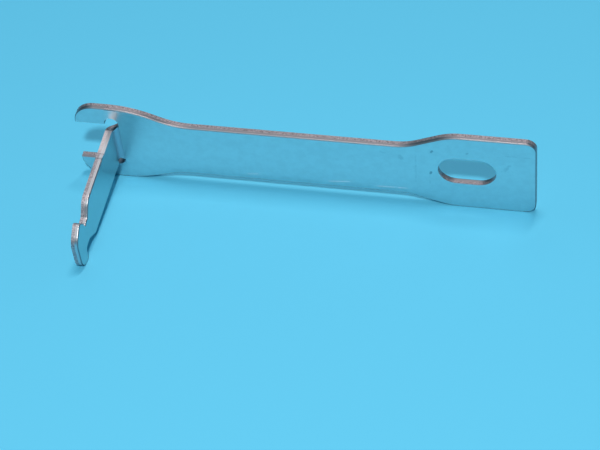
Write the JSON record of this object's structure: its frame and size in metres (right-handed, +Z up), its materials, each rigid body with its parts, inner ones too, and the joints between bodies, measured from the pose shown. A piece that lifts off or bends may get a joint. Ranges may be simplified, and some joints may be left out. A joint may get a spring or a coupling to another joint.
{
  "type": "stamped bracket",
  "caption": "Flat stamped steel bracket with a slotted head, a narrow waist, and a folded leg that ends in a hooked finger.",
  "frame": {"origin": "on the floor below the middle of the bracket's bounding box, as it rests on the lower edges of its heads and the tip of its finger", "axes": "+X along the arm from the folded leg to the slotted head, -Y the way the leg points, +Z up"},
  "size_m": [0.1296, 0.0444, 0.0273],
  "materials": {
    "zinc_plate": "satin zinc plate"
  },
  "bodies": {
    "root": {"bracket": "zinc_plate"}
  },
  "joints": []
}
